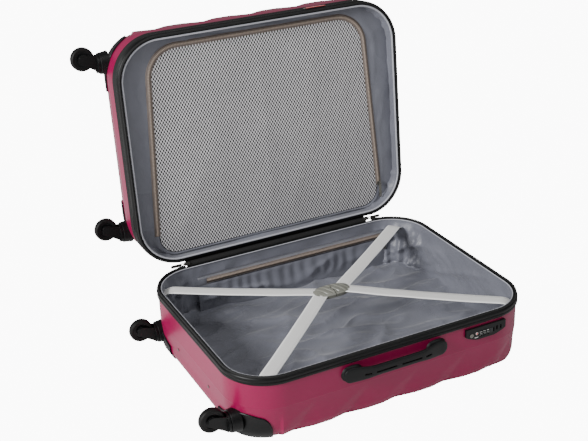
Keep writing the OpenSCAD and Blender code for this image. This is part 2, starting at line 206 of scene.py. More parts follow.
def put(name, verts, faces, material, body, lid=False, uv=None, sharp=None):
    """A mesh object of those corners and faces, drawn as a half and turned over where it is the lid's."""
    mesh = bpy.data.meshes.new(name)
    verts = [tuple(v) for v in np.asarray(verts, float).reshape(-1, 3)]
    if lid:
        verts = [tuple(LID @ Vector(v)) for v in verts]
        faces = [tuple(reversed(f)) for f in faces]
    mesh.from_pydata(verts, [], faces)
    if uv is not None:
        layer = mesh.uv_layers.new(name="cloth")
        index = np.empty(len(mesh.loops), int)
        mesh.loops.foreach_get("vertex_index", index)
        layer.data.foreach_set("uv", np.asarray(uv, float).reshape(-1, 2)[index].ravel())
    mesh.polygons.foreach_set("use_smooth", [True] * len(mesh.polygons))
    if sharp is not None:
        mesh.set_sharp_from_angle(angle=math.radians(sharp))
    mesh.update()
    made = bpy.data.objects.new(name, mesh)
    made.data.materials.append(material)
    bpy.context.scene.collection.objects.link(made)
    if body:
        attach(made, body)
    return made


def grid_faces(rows, cols, ring=True, flip=False, keep=None):
    """Quads between rows of points; ring joins the last column to the first."""
    faces = []
    for i in range(rows - 1):
        for j in range(cols if ring else cols - 1):
            k = (j + 1) % cols
            face = (i * cols + j, i * cols + k, (i + 1) * cols + k, (i + 1) * cols + j)
            if keep is None or keep(i, j):
                faces.append(face[::-1] if flip else face)
    return faces


def wave(t):
    """A triangle wave, 1 at whole numbers and 0 halfway between them."""
    return abs(2 * (t - math.floor(t)) - 1)


facet_top = 70
facet_pitch = 108 * MM
foot = 26


def facet(s, z):
    """How far the slanted facets stand out at s metres round the rim and z mm up, from 0 to 1."""
    drop = min(max((facet_top - z) / facet_top, 0), 1)
    return min(1.7 * drop, 1.5 * wave(s / facet_pitch + 0.42 * drop), 1.0)


def lean(n, lid):
    """How far, in mm, the wall that faces n leans in at its foot. The base's ends stay upright, because
    the trolley's tubes stand behind them."""
    return 11.0 if lid else 8.0 * n[1] ** 2


def wall_inset(z, n, lid, stand=0.0):
    """How far, in mm, the wall below its ledge lies inside the rim, z mm up: it leans in, curves under
    at its foot and comes out where its facets stand."""
    low = max(0.0, (foot - z) / foot)
    inset = 3.4 + 11.0 * low**2.2 - (1.0 + 4.6 * low) * stand
    inset += 2.2 * min(1.0, (facet_top - z) / 30) * (1 - stand)
    return inset + lean(n, lid) * max(0.0, (facet_top - z) / facet_top) ** 1.2


def shell_rows(step, lid):
    """Rings of points of one shell's outer face, from under the rim to the middle of its floor."""
    points, normals, along = rim_path(step)
    plain = [p[0] < -235 * MM and abs(p[1]) > 115 * MM for p in points]  # behind the casters' housings
    levels = [122, 116, 108, 100, 92, 84, 77, 73, 72, 70.8, 70, 66, *range(62, 3, -4)]
    rows = []
    for z in levels:
        row = []
        for p, n, s, hidden in zip(points, normals, along, plain):
            stand = 0 if hidden else facet(s, z) * n[1] ** 2
            inset = 3.0 if z > facet_top + 1.5 else wall_inset(z, n, lid, stand)
            row.append((*(p - n * inset * MM), z * MM))
        rows.append(row)
    floor_edge = [(16.0, 1.6), (21.0, 0.3), (28.0, 0.0), (44.0, 0.0), (62.0, 0.0)]
    first, last = floor_edge[0][0], floor_edge[-1][0]
    for inset, z in floor_edge:
        row = []
        for p, n, s, hidden in zip(points, normals, along, plain):
            stand = 0 if hidden else facet(s, 0) * n[1] ** 2
            pull = (5.0 * stand - lean(n, lid)) * max(0.0, 1 - (inset - first) / (last - first))
            row.append((*(p - n * (inset - pull) * MM), z * MM))
        rows.append(row)
    rim = np.array(rows[-1])
    cell_l, cell_w = 210 * MM, 320 * MM
    for t in np.linspace(0.9, 0.0, 10):
        row = rim.copy()
        row[:, :2] *= t
        for q in row:
            cell = wave(q[0] / cell_l + q[1] / cell_w) * wave(q[0] / cell_l - q[1] / cell_w)
            q[2] = 2.4 * MM * cell * min(1.0, 4 * (1 - t))
        rows.append(row.tolist())
    return np.array(rows)


# Raspberry ABS, formed on a polished mould: satin with soft highlights. A noise's scale is its cells per
# metre, so the pigment clouds over 110 mm, the scuffs are 6 mm and the moulded grain is 0.7 mm.
shell_abs, tree, surface = finish_material("raspberry_moulded_abs")
place = add(tree, "TexCoord").outputs["Object"]
cloud = add(tree, "TexNoise", {"Vector": place, "Scale": 9.0, "Detail": 4.0})
pigment = add(tree, "Mix", {MIX_BY: cloud, MIX_LOW: linear("#84003C"), MIX_HIGH: linear("#920848")},
              data_type="RGBA")
scuff_noise = add(tree, "TexNoise", {"Vector": place, "Scale": 160.0, "Detail": 5.0, "Roughness": 0.7})
scuffs = add(tree, "ValToRGB", {"Fac": scuff_noise})
scuffs.color_ramp.elements[0].position = 0.66
scuffs.color_ramp.elements[1].position = 0.78
worn = add(tree, "Math", {0: scuffs, 1: 0.25}, operation="MULTIPLY")
add(tree, "Mix", {MIX_BY: worn, MIX_LOW: pigment, MIX_HIGH: linear("#C7597F")},
    into=surface["Base Color"], data_type="RGBA")
grain = add(tree, "TexNoise", {"Vector": place, "Scale": 1400.0, "Detail": 2.0})
add(tree, "MapRange", {"Value": cloud, "To Min": 0.26, "To Max": 0.36}, into=surface["Roughness"])
add(tree, "Bump", {"Height": grain, "Strength": 0.12, "Distance": 0.0004}, into=surface["Normal"])
surface["IOR"].default_value = 1.53
surface["Specular IOR Level"].default_value = 0.35

cup_depth, cup_half, cup_top = 30 * MM, 96 * MM, 27 * MM
for name, body, lid in (("back_shell", "base", False), ("front_shell", "lid", True)):
    rings = shell_rows(5.5 * MM, lid)

    def clear_of_cup(i, j):
        x, y, z = rings[i, j]
        return lid or x <= case_l / 2 - cup_depth or abs(y) >= cup_half or z >= cup_top

    rows, cols = rings.shape[:2]
    faces = grid_faces(rows, cols, flip=True, keep=clear_of_cup)
    skin = put(name + "_skin", rings, faces, shell_abs, body, lid, sharp=14)
    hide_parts(name)

# ---- Rims: the moulded black bands ----
# A black rubbery PVC extrusion clips over each shell's edge; the zip tape is sewn into its top.


def sweep_ring(name, profile, material, body, lid=False, step=6 * MM, sharp=30):
    """A closed profile of (inset, height) pairs in millimetres, run round the rim."""
    points, normals, along = rim_path(step)
    closed = profile + profile[:1]
    level = np.ones(len(points)) * MM
    rows = np.array([np.column_stack((points - normals * inset * MM, level * z)) for inset, z in closed])
    gaps = [math.dist(a, b) for a, b in zip(closed, closed[1:])]
    uv = [[(s, v) for s in along] for v in np.concatenate(([0.0], np.cumsum(gaps))) * MM]
    faces = grid_faces(len(rows), len(points))
    return put(name, rows, faces, material, body, lid, uv=uv, sharp=sharp)


def bead(low, high, ridges, depth):
    """The rim's outer side as rounded ridges, then its top and inner side."""
    profile = []
    for i in range(ridges * 6 + 1):
        t = i / (ridges * 6)
        ends = min(1.0, 4 * t, 4 * (1 - t))
        groove = depth * (1 - abs(math.sin(math.pi * ridges * t))) ** 3
        profile.append((0.2 + 1.6 * (1 - ends) ** 2 + groove, low + (high - low) * t))
    return profile + [(3.0, high + 0.2), (8.4, high + 0.2), (9.0, high - 0.6), (9.0, low)]


# Black PVC, extruded: satin, mottled at 17 mm, with a 1.1 mm grain that soaks up most of the light.
rim_pvc, tree, surface = finish_material("black_satin_pvc")
place = add(tree, "TexCoord").outputs["Object"]
mottle = add(tree, "TexNoise", {"Vector": place, "Scale": 60.0, "Detail": 4.0})
add(tree, "Mix", {MIX_BY: mottle, MIX_LOW: linear("#030303"), MIX_HIGH: linear("#070808")},
    into=surface["Base Color"], data_type="RGBA")
add(tree, "MapRange", {"Value": mottle, "To Min": 0.34, "To Max": 0.5}, into=surface["Roughness"])
fine = add(tree, "TexNoise", {"Vector": place, "Scale": 900.0})
add(tree, "Bump", {"Height": fine, "Strength": 0.15, "Distance": 0.0004}, into=surface["Normal"])
surface["Specular IOR Level"].default_value = 0.25

for name, body, lid, ridges in (("base_rim", "base", False, 2), ("lid_rim", "lid", True, 4)):
    band = sweep_ring(name + "_band", bead(121.0, 136.6, ridges, 0.8), rim_pvc, body, lid)
    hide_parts(name)

# ---- Zip edges: the woven tapes with their coils ----
# Black polyester zip tape stands on each rim, its nylon coil sewn along the top edge.


def woven(name, thread, light, dark, rough, lift, sheen=0.0, crumple=0.0):
    """Plain weave with its threads that far apart, and with fine creases that are crumple deep. Both are
    in metres, and the weave follows the cloth's own length and width."""
    material, tree, surface = finish_material(name)
    cloth = add(tree, "UVMap", uv_map="cloth")
    split = add(tree, "SeparateXYZ", {"Vector": cloth})
    heights = []
    for axis in "XY":
        turn = add(tree, "Math", {0: split.outputs[axis], 1: math.pi / thread}, operation="MULTIPLY")
        swell = add(tree, "Math", {0: turn}, operation="SINE")
        heights.append(add(tree, "Math", {0: swell}, operation="ABSOLUTE"))
    weave = add(tree, "Math", {0: heights[0], 1: heights[1]}, operation="MULTIPLY")
    place = add(tree, "TexCoord").outputs["Object"]
    cloud = add(tree, "TexNoise", {"Vector": place, "Scale": 22.0, "Detail": 5.0})
    cloudy = add(tree, "Math", {0: cloud, 1: 0.4}, operation="MULTIPLY")
    shade = add(tree, "Math", {0: weave, 1: 0.6, 2: cloudy}, operation="MULTIPLY_ADD")
    add(tree, "Mix", {MIX_BY: shade, MIX_LOW: linear(dark), MIX_HIGH: linear(light)},
        into=surface["Base Color"], data_type="RGBA")
    creased = add(tree, "TexNoise", {"Vector": place, "Scale": 7.0, "Detail": 2.0, "Distortion": 0.3})
    centred = add(tree, "Math", {0: creased, 1: 0.5}, operation="SUBTRACT")
    ridged = add(tree, "Math", {0: centred}, operation="ABSOLUTE")
    strength = 0.8 if crumple else 0.0
    folds = add(tree, "Bump", {"Height": ridged, "Strength": strength, "Distance": crumple}, invert=True)
    add(tree, "Bump", {"Height": weave, "Normal": folds, "Strength": 0.5, "Distance": lift},
        into=surface["Normal"])
    surface["Roughness"].default_value = rough
    surface["Sheen Weight"].default_value = sheen
    return material


# Woven black polyester: matt. Its 0.4 mm threads are drawn 1.6 mm apart, so that they show.
black_tape = woven("black_polyester_tape", 1.6 * MM, "#0A0A0B", "#030303", 0.75, 0.0004)
hinge_low, hinge_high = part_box("hinge_strip")
hinge_half = (hinge_high.x - hinge_low.x) / 2
zip_step = 5 * MM
ring_points, ring_normals, _ = rim_path(zip_step)
on_hinge_side = ring_points[:, 1] > case_w / 2 - MM
at_hinge = on_hinge_side & (np.abs(ring_points[:, 0]) < hinge_half + 12 * MM)
first = int(np.argmax(at_hinge & ~np.roll(at_hinge, 1)))
order = np.roll(np.arange(len(ring_points)), -first)
zip_path = [i for i in order if not at_hinge[i]]
for name, body, lid in (("base_zip_tape", "base", False), ("lid_zip_tape", "lid", True)):
    profile = [(2.3, 136.9), (2.2, 139.6), (2.9, 140.7), (4.6, 140.7), (5.6, 139.6), (5.6, 136.9)]
    p, n = ring_points[zip_path], ring_normals[zip_path]
    rows = np.array([
        np.column_stack((p - n * inset * MM, np.full(len(p), z * MM))) for inset, z in profile
    ])
    rows[2:4, :, 2] += 0.175 * MM * np.where(np.arange(len(p)) % 2, 1, -1)  # the coil's teeth
    uv = [[(i * zip_step, k * 2 * MM) for i in range(len(p))] for k in range(len(profile))]
    faces = grid_faces(len(rows), len(p), ring=False)
    tape = put(name + "_cloth", rows, faces, black_tape, body, lid, uv=uv)
    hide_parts(name)

# ---- Expander: the folded gusset behind the lid's rim ----
# A strip of black tape with two closed zips lies folded round the lid, between its rim and its shell.
gusset = []
for t in np.linspace(0, 1, 25):
    gusset.append((1.0 + 1.1 * (1 - abs(math.sin(3 * math.pi * t))) ** 2, 101.5 + 19.3 * t))
gusset += [(4.5, 120.8), (4.5, 101.5)]
expander = sweep_ring("lid_expander_gusset", gusset, black_tape, "lid", True)

# ---- Linings: the satin cloth inside each half ----
# Grey polyester taffeta is stapled under each rim and glued loosely to the wall, so it gathers in the
# corners and creases over the packing floor, where the trolley's tubes show as two low ridges.
# The cloth has a satin sheen and fine creases. Its 0.15 mm threads are drawn 1.5 mm apart to show.
taffeta = woven("grey_polyester_taffeta", 1.5 * MM, "#83858F", "#5A5B65", 0.34, 0.0002, 0.2, 0.02)
tube_line = abs(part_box("trolley_inner_tubes")[1].y) - 9 * MM
tube_ridge = 14 * MM
pleat_pitch = 34 * MM
floor_rise = 14.0


def crease(a, b, c, sharpness=2.0):
    """A field of soft ridges, 0 to 1, with valleys between them."""
    return max(0.0, 1 - 2.2 * abs(noise.noise(Vector((a, b, c))))) ** sharpness


def lining_rings(low, seed, lid):
    """Rings from the rim down the wall and in over the floor, with folds that stand inwards."""
    points, normals, along = rim_path(5.5 * MM)
    steps = [(z, 9.6) for z in (135.4, 134, 131, 127, *range(122, int(low) + 26, -5))]
    steps += [(low + 26, 9.8), (low + 21, 10.4), (low + 15, 11.6), (low + 10, 13.0), (low + 6, 15.4)]
    steps += [(low + 3.4, 18.6), (low + 1.9, 22.6), (low + 1.6, 27.0), (low + 1.6, 32.0)]
    steps += [(low + 1.6, inset) for inset in range(38, 74, 6)]
    rows = []
    for z, inset in steps:
        depth = min(1.0, max(0.0, (133 - z) / 38))
        row = []
        for p, n, s in zip(points, normals, along):
            corner = min(1.0, 8 * abs(n[0] * n[1]))
            wander = 3 * noise.noise(Vector((s * 7, z * 0.02, seed)))
            pleat = math.sin(s * 2 * math.pi / pleat_pitch + wander)
            slack = 1 - 0.5 * max(0.0, n[1]) ** 2
            stand = slack * 8.0 * crease(s * 7.5 + z * 0.02, z * 0.02, seed)
            stand += slack * 3.4 * crease(s * 22 - z * 0.05, z * 0.03, seed + 4)
            stand += corner * (5.0 * max(0.0, pleat) + 3.6 * crease(s * 15 + z * 0.03, z * 0.04, seed + 7))
            stand *= depth * (1 + 0.5 * corner)
            on_floor = min(1.0, max(0.0, (low + 12 - z) / 10))
            q = p - n * (inset + stand * (1 - on_floor * 0.7)) * MM
            row.append((*q, (z + on_floor * floor_rise * lift(q, seed, lid)) * MM))
        rows.append(row)
    edge = np.array(rows[-1])
    for t in np.linspace(0.95, 0.0, 30):
        row = edge.copy()
        row[:, :2] *= t
        row[:, 2] = [(low + 1.6 + floor_rise * lift(q, seed, lid)) * MM for q in row[:, :2]]
        rows.append(row.tolist())
    return np.array(rows)


def lift(q, seed, lid):
    """How far the floor's cloth stands up there, 0 to 1: long creases, and the base's two tube ridges."""
    creases = 0.6 * crease(q[0] * 4 + q[1] * 3, q[1] * 10 - q[0] * 3, seed + 2, 4.0)
    creases += 0.4 * crease(q[0] * 9 + q[1] * 5, q[1] * 19 - q[0] * 6, seed + 9, 3.0)
    ridge = 0 if lid else math.exp(-(((abs(q[1]) - tube_line) / tube_ridge) ** 2))
    return min(1.0, creases + 0.45 * ridge)


for name, body, shell, low, seed in (
    ("base_lining", "base", "back_shell", 28.0, 1.0),
    ("lid_lining", "lid", "front_shell", 16.0, 21.0),
):
    lid = body == "lid"
    rings = lining_rings(low, seed, lid)
    rows, cols = rings.shape[:2]
    spans = np.linalg.norm(np.diff(rings, axis=0), axis=2).mean(1)
    down = np.concatenate(([0.0], np.cumsum(spans)))
    uv = [[(s, d) for s in rim_path(5.5 * MM)[2]] for d in down]
    for i in range(int(np.argmax(down > 190 * MM)), rows):
        uv[i] = [(q[0], q[1]) for q in rings[i]]
    cloth = put(name + "_cloth", rings, grid_faces(rows, cols), taffeta, body, lid, uv=uv)
    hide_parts(name)

# ---- Piping: the pale cord that finishes each lining's edge ----
# A twisted cotton cord in a strip of grey satin is sewn between the lining and the rim. The satin is
# paler than the lining and its threads are drawn 1.8 mm apart.
satin_piping = woven("pale_grey_satin_piping", 1.8 * MM, "#C3C4CB", "#9C9DA6", 0.5, 0.0004, 0.3)
for name, body, lid in (("base_piping", "base", False), ("lid_piping", "lid", True)):
    bulge = 1.9 if lid else 1.0
    turns = np.linspace(0, 2 * math.pi, 10, endpoint=False)
    profile = [(10.2 + bulge * math.cos(a), 136.4 + bulge * math.sin(a)) for a in turns]
    cord = sweep_ring(name, profile, satin_piping, body, lid, step=5 * MM, sharp=60)

# ---- Lid divider: border, mesh panel and the zip round it ----
# The border is the same taffeta, sewn to the lining. The knitted mesh panel zips into it on three
# sides and hangs a little slack, held along the hinge.
panel_z = half_depth - 20 * MM
panel_hinge_y = hinge_at.y - 21 * MM
panel_top_y = panel_hinge_y - 427 * MM


def panel_edge(grow, step=5 * MM):
    """The panel's outline, anticlockwise from above, with wide round corners at its free edge and small
    ones at the hinge."""
    top, bottom = panel_top_y / MM + 60, panel_hinge_y / MM - 38
    arcs = [(-180, top, 60, 180), (180, top, 60, 270), (222, bottom, 38, 0), (-222, bottom, 38, 90)]
    corners = []
    for cx, cy, r, start in arcs:
        for a in np.linspace(math.radians(start), math.radians(start + 90), 16):
            n = np.array((math.cos(a), math.sin(a)))
            corners.append(np.array((cx, cy)) + n * (r + grow))
    corners = np.array(corners) * MM
    closed = np.vstack((corners, corners[:1]))
    run = np.concatenate(([0], np.cumsum(np.linalg.norm(np.diff(closed, axis=0), axis=1))))
    t = np.linspace(0, run[-1], round(run[-1] / step), endpoint=False)
    return np.column_stack([np.interp(t, run, closed[:, k]) for k in (0, 1)]), t


def edge_towards(edge, directions, centre):
    """Where the outline lies in each direction from the centre."""
    around = np.arctan2(*(edge - centre).T[::-1])
    order = np.argsort(around)
    wanted = np.arctan2(directions[:, 1], directions[:, 0])
    reaches = np.linalg.norm(edge - centre, axis=1)[order]
    size = np.interp(wanted, around[order], reaches, period=2 * math.pi)
    return centre + directions / np.linalg.norm(directions, axis=1)[:, None] * size[:, None]


points, normals, along = rim_path(5 * MM)
centre = np.array((0.0, (panel_top_y + panel_hinge_y) / 2))
outer = points - normals * 10.9 * MM
inner = edge_towards(panel_edge(1.0)[0], outer - centre, centre)
rows = []
for t in np.linspace(0, 1, 12):
    flat = outer * (1 - t) + inner * t
    swell = 1.8 * MM * math.sin(math.pi * t)
    puff = [swell * (0.3 + crease(s * 11, t * 1.6, 31.0)) - 1.2 * MM * (1 - t) for s in along]
    rows.append(np.column_stack((flat, panel_z - 1.0 * MM + np.array(puff))))
uv = [[(s, t * 0.05) for s in along] for t in np.linspace(0, 1, 12)]
border = put("lid_border_cloth", np.array(rows), grid_faces(12, len(points)), taffeta, "lid", True, uv=uv)
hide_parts("lid_border")

# Knitted polyester mesh: pale grey threads round staggered holes, painted near-black for the shade seen
# through them. The real holes are 2 mm across and are drawn wider apart, so that they show.
knit, tree, surface = finish_material("grey_knitted_mesh")
hole_pitch = 6.4 * MM
cloth = add(tree, "UVMap", uv_map="cloth")
split = add(tree, "SeparateXYZ", {"Vector": cloth})
columns = add(tree, "Math", {0: split.outputs["X"], 1: 2 * math.pi / hole_pitch}, operation="MULTIPLY")
courses = add(tree, "Math", {0: split.outputs["Y"], 1: 2 * math.pi / (1.5 * hole_pitch)},
              operation="MULTIPLY")
across = add(tree, "Math", {0: columns}, operation="COSINE")
down_way = add(tree, "Math", {0: courses}, operation="COSINE")
lattice = add(tree, "Math", {0: across, 1: down_way}, operation="MULTIPLY")
hole = add(tree, "MapRange", {"Value": lattice, "From Min": -0.12, "From Max": 0.12})
place = add(tree, "TexCoord").outputs["Object"]
cloud = add(tree, "TexNoise", {"Vector": place, "Scale": 7.0, "Detail": 4.0})
thread = add(tree, "Mix", {MIX_BY: cloud, MIX_LOW: linear("#C9C7CA"), MIX_HIGH: linear("#EDEBED")},
             data_type="RGBA")
# Painted shade: the holes get a near-black colour for the shaded space behind the mesh.
add(tree, "Mix", {MIX_BY: hole, MIX_LOW: thread, MIX_HIGH: linear("#0B0A0C")},
    into=surface["Base Color"], data_type="RGBA")
add(tree, "Bump", {"Height": hole, "Strength": 0.7, "Distance": 0.0008}, invert=True, into=surface["Normal"])
surface["Roughness"].default_value = 0.7
surface["Sheen Weight"].default_value = 0.2
edge, _ = panel_edge(-0.6, 6 * MM)
rows, uv = [], []
for t in np.linspace(1, 0, 36):
    row = []
    for p in edge:
        q = centre + (p - centre) * t
        slack = (1 - t**4) * (3.2 * noise.noise(Vector((q[0] * 5, q[1] * 5, 3.0))) + 2.0)
        wrinkle = 1.6 * (1 - t**8) * crease(q[0] * 9 + q[1] * 2, q[1] * 4, 12.0)
        row.append((*q, panel_z - 0.6 * MM + (slack + wrinkle) * MM * 0.8))
    rows.append(row)
    uv.append([(q[0], q[1]) for q in row])
panel = put("mesh_panel_knit", np.array(rows), grid_faces(36, len(edge)), knit, "mesh_panel", True, uv=uv)
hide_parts("mesh_panel")

# Taupe nylon coil zip: matt tape either side of a ribbed coil. The coil's 1.5 mm pitch is drawn at 3 mm.
coil, tree, surface = finish_material("taupe_nylon_coil_zip")
cloth = add(tree, "UVMap", uv_map="cloth")
split = add(tree, "SeparateXYZ", {"Vector": cloth})
turns = add(tree, "Math", {0: split.outputs["X"], 1: 2 * math.pi / (3 * MM)}, operation="MULTIPLY")
ribs = add(tree, "Math", {0: turns}, operation="SINE")
centred = add(tree, "Math", {0: split.outputs["Y"]}, operation="ABSOLUTE")
on_coil = add(tree, "Math", {0: centred, 1: 2.1 * MM}, operation="LESS_THAN")
lanes = add(tree, "Math", {0: centred, 1: 2 * math.pi / (2.6 * MM)}, operation="MULTIPLY")
stripe = add(tree, "Math", {0: lanes}, operation="SINE")
stripe_tone = add(tree, "Math", {0: stripe, 1: 0.5, 2: 0.5}, operation="MULTIPLY_ADD")
banded = add(tree, "Mix", {MIX_BY: stripe_tone, MIX_LOW: linear("#3A3332"), MIX_HIGH: linear("#8C7F76")},
             data_type="RGBA")
tape = add(tree, "Mix", {MIX_BY: on_coil, MIX_LOW: banded, MIX_HIGH: linear("#A8988A")}, data_type="RGBA")
rib_tone = add(tree, "Math", {0: ribs, 1: 0.35, 2: 0.35}, operation="MULTIPLY_ADD")
shade = add(tree, "Math", {0: on_coil, 1: rib_tone}, operation="MULTIPLY")
add(tree, "Mix", {MIX_BY: shade, MIX_LOW: tape, MIX_HIGH: linear("#54473F")},
    into=surface["Base Color"], data_type="RGBA")
raised = add(tree, "Math", {0: ribs, 1: on_coil}, operation="MULTIPLY")
add(tree, "Bump", {"Height": raised, "Strength": 0.5, "Distance": 0.0006}, into=surface["Normal"])
surface["Roughness"].default_value = 0.62


def zip_strip(name, line, normals, flat, body, lid, rise):
    """Two tapes and a coil along a line, lifted along rise from the cloth under it. They replace flat."""
    half = 6.2
    section = [(-half, 0.2), (-2.4, 0.7), (-1.7, 1.9), (-0.6, 2.5)]
    section += [(-v, h) for v, h in reversed(section)]
    section += [(half, 0), (-half, 0)]
    rise = np.array(rise, float)
    rows = [line + normals * v * MM + rise * h * MM for v, h in section]
    run = np.cumsum(np.linalg.norm(np.diff(line, axis=0, prepend=line[:1]), axis=1))
    uv = [[(s, v * MM) for s in run] for v, h in section]
    faces = grid_faces(len(rows), len(line), ring=False)
    made = put(name, np.array(rows), faces, coil, body, lid, uv=uv)
    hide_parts(flat)


line, _ = panel_edge(5.0, 4 * MM)
before, after = np.roll(line, 1, axis=0), np.roll(line, -1, axis=0)
heading = (after - before) / np.linalg.norm(after - before, axis=1)[:, None]
side = np.column_stack((heading[:, 1], -heading[:, 0]))
sewn = line[:, 1] > hinge_at.y - 62 * MM
first = int(np.argmax(~sewn & np.roll(sewn, 1)))
order = [i for i in np.roll(np.arange(len(line)), -first) if not sewn[i]]
middle = np.column_stack((line[order], np.full(len(order), panel_z + 0.2 * MM)))
across = np.column_stack((side[order], np.zeros(len(order))))
zip_strip("panel_zip", middle, across, "panel_zip_tape", "lid", True, rise=(0, 0, 1))

# ---- Wall pocket: gathered pouch with a zip across its top ----
# The pouch is a strip of the lining cloth gathered on a hem, sewn to the back wall under its zip.
pouch_low, pouch_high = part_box("pocket_panel")
pouch_columns = np.arange(pouch_low.x, pouch_high.x + 1e-6, 3.5 * MM)
gather_pitch = 26 * MM
top_z, bottom_z = pouch_high.z, 31 * MM
rows, uv = [], []
for t in np.linspace(0, 1, 20):
    z = top_z + (bottom_z - top_z) * t
    row = []
    for x in pouch_columns:
        ends = min(1.0, (x - pouch_low.x) / (30 * MM), (pouch_high.x - x) / (100 * MM))
        wander = 4 * noise.noise(Vector((x * 11, t * 1.2, 5.0)))
        gather = math.sin(x * 2 * math.pi / gather_pitch + wander)
        fold = (0.9 + 1.4 * gather) * math.sin(math.pi * min(1, t * 1.25)) ** 0.7
        fold += 5.5 * crease(x * 8 + t, t * 1.9, 15.0) * math.sin(math.pi * t)
        row.append((x, pouch_low.y - 0.3 * MM - (fold * ends + 2.4 * t) * MM, z))
    rows.append(row)
    uv.append([(x, z) for x in pouch_columns])
faces = grid_faces(20, len(pouch_columns), ring=False, flip=True)
pouch = put("pocket_cloth", np.array(rows), faces, taffeta, "base", uv=uv)
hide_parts("pocket_panel")

# The band above the zip is the satin of the piping, folded over the pouch's top edge.
tape_low, tape_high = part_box("pocket_zip_tape")
band_columns = np.arange(pouch_low.x, pouch_high.x + 1e-6, 6 * MM)
rows, uv = [], []
for z, out in ((118, 3.2), (116, 1.2), (112, 0.6), (109, 0.9), (108.4, 0.2)):
    rows.append([(x, tape_high.y - (out + 0.3 * math.sin(x * 90)) * MM, z * MM) for x in band_columns])
    uv.append([(x, z * MM) for x in band_columns])
faces = grid_faces(5, len(band_columns), ring=False, flip=True)
band = put("pocket_top_band", np.array(rows), faces, satin_piping, "base", uv=uv)
x_run = np.arange(tape_low.x, tape_high.x, 4 * MM)
middle = np.array([(x, tape_low.y + 0.9 * MM, (tape_low.z + tape_high.z) / 2) for x in x_run])
across = np.tile((0.0, 0.0, 1.0), (len(x_run), 1))
zip_strip("pocket_zip", middle, across, "pocket_zip_tape", "base", False, rise=(0, -1, 0))

# ---- Straps: four ends of polypropylene webbing ----
# The webbing is sewn under the rim at each corner and meets in pairs at the buckle. It is matt, ribbed
# along its length, and a pale band painted along each edge stands in for a highlight. Its 1.3 mm cords are
# drawn 2.6 mm apart.
webbing, tree, surface = finish_material("pale_polypropylene_webbing")
cloth = add(tree, "UVMap", uv_map="cloth")
split = add(tree, "SeparateXYZ", {"Vector": cloth})
heights = []
for axis, spacing in (("Y", 2.6 * MM), ("X", 2.2 * MM)):
    turn = add(tree, "Math", {0: split.outputs[axis], 1: math.pi / spacing}, operation="MULTIPLY")
    swell = add(tree, "Math", {0: turn}, operation="SINE")
    heights.append(add(tree, "Math", {0: swell}, operation="ABSOLUTE"))
picks = add(tree, "Math", {0: heights[1], 1: 0.5, 2: 0.5}, operation="MULTIPLY_ADD")
ribs = add(tree, "Math", {0: heights[0], 1: picks}, operation="MULTIPLY")
off_middle = add(tree, "Math", {0: split.outputs["Y"]}, operation="ABSOLUTE")
# Painted highlight: a near-white band along both edges of the webbing.
painted_edge_band = add(tree, "Math", {0: off_middle, 1: 11.4 * MM}, operation="GREATER_THAN")
pale = add(tree, "Mix", {MIX_BY: ribs, MIX_LOW: linear("#CFCECB"), MIX_HIGH: linear("#F0EFED")},
           data_type="RGBA")
add(tree, "Mix", {MIX_BY: painted_edge_band, MIX_LOW: pale, MIX_HIGH: linear("#FAFAF8")},
    into=surface["Base Color"], data_type="RGBA")
add(tree, "Bump", {"Height": ribs, "Strength": 0.5, "Distance": 0.0005}, into=surface["Normal"])
surface["Roughness"].default_value = 0.6
strap_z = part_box("straps_left")[0].z


def strap(name, a, b):
    """A webbing strap from its end a at the buckle to b at the wall, where it dives under the rim."""
    a, b = np.array(a) * MM, np.array(b) * MM
    length = np.linalg.norm(b - a)
    ahead = (b - a) / length
    aside = np.array((-ahead[1], ahead[0]))
    half = 14.5
    section = [(-half, 0.3), (-14, 0.9), (-7, 1.2), (0, 1.3), (7, 1.2), (14, 0.9), (half, 0.3)]
    section += [(14, -0.2), (0, -0.3), (-14, -0.2)]
    rows, uv = [], []
    steps = round(length / (6 * MM))
    for i in range(steps + 1):
        t = i / steps
        sag = -2.2 * MM * math.sin(math.pi * t) + 0.5 * MM * noise.noise(Vector((t * 6, a[1] * 40, 0)))
        dive = -9.0 * MM * max(0.0, (t * length - length + 22 * MM) / (22 * MM)) ** 1.6
        twist = 0.5 * MM * noise.noise(Vector((t * 5, b[0] * 9, 2.0)))
        p = a + ahead * length * t
        z = strap_z + sag + dive
        rows.append([(*(p + aside * v * MM), z + h * MM + twist * v / half) for v, h in section])
        uv.append([(t * length, v * MM) for v, h in section])
    rows, uv = np.array(rows), np.array(uv)
    around = len(section)
    faces = grid_faces(len(rows), around)
    faces += [tuple(range(around))[::-1], tuple(range((len(rows) - 1) * around, len(rows) * around))]
    made = put(name, rows, faces, webbing, None, uv=uv, sharp=50)
    return made


for name, a, b in (
    ("strap_back_left", (-30, 20), (-294, 187)),
    ("strap_front_left", (-30, 2), (-263, -221)),
):
    made = strap(name, a, b)
    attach(made, "base")
    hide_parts("straps_left")
# The right pair stretches between the rim and the buckle half that slides off.
for name, a, b in (
    ("strap_back_right", (30, 21), (276, 213)),
    ("strap_front_right", (30, 3), (284, -207)),
):
    made = strap(name, a, b)
    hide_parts("straps_right")
    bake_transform(made)

# ---- Strap buckle ----
# Two halves of moulded acetal that clip together into one smooth oval with slanted finger ridges. The
# olive grey plastic is satin, clouded at 11 mm, with a 0.8 mm grain.
acetal, tree, surface = finish_material("olive_grey_acetal")
place = add(tree, "TexCoord").outputs["Object"]
cloud = add(tree, "TexNoise", {"Vector": place, "Scale": 90.0, "Detail": 4.0})
add(tree, "Mix", {MIX_BY: cloud, MIX_LOW: linear("#6E6E66"), MIX_HIGH: linear("#84847B")},
    into=surface["Base Color"], data_type="RGBA")
add(tree, "MapRange", {"Value": cloud, "To Min": 0.3, "To Max": 0.45}, into=surface["Roughness"])
fine = add(tree, "TexNoise", {"Vector": place, "Scale": 1200.0})
add(tree, "Bump", {"Height": fine, "Strength": 0.15, "Distance": 0.0003}, into=surface["Normal"])
plug_low, plug_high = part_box("buckle_plug")
buckle_y = (plug_low.y + plug_high.y) / 2
ridge_pitch = 12.5
